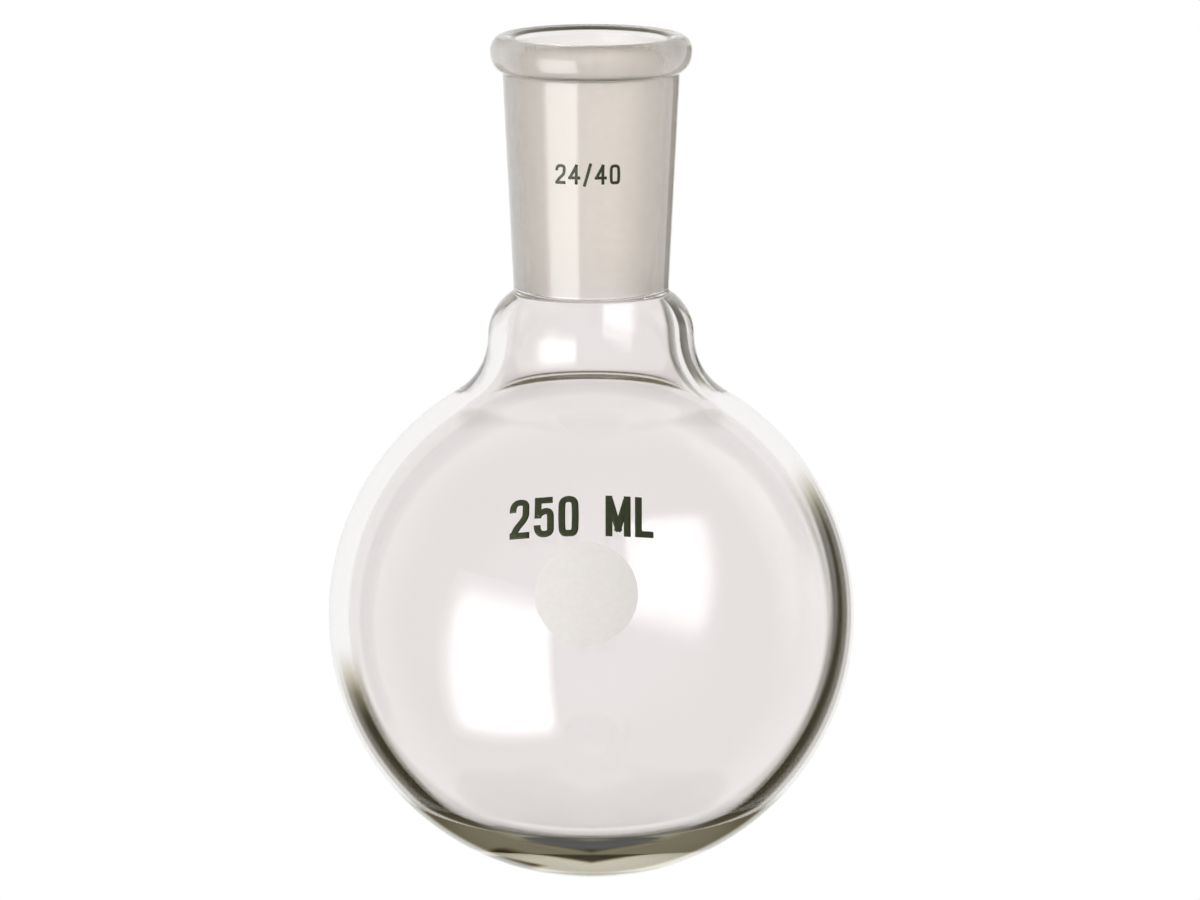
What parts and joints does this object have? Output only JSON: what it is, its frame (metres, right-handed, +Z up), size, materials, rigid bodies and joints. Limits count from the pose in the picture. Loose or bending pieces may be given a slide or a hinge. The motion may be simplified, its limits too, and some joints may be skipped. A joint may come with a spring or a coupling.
{
  "type": "single-neck round-bottom flask",
  "caption": "Round-bottom laboratory flask: a clear glass bulb whose short neck ends in a ground-glass taper socket with a rolled rim.",
  "frame": {"origin": "centre of the ground socket's mouth, level with the top of the rolled rim", "axes": "+Z up along the flask's axis, out of the mouth; the print and the marking spot face -Y"},
  "size_m": [0.085, 0.085, 0.137],
  "materials": {
    "clear_glass": "clear borosilicate glass, fire polished",
    "ground_glass": "fine-ground matt bore of the socket",
    "white_enamel": "fired matt white marking spot",
    "green_enamel": "fired dark green print"
  },
  "bodies": {
    "root": {"flask": "clear_glass"}
  },
  "joints": []
}
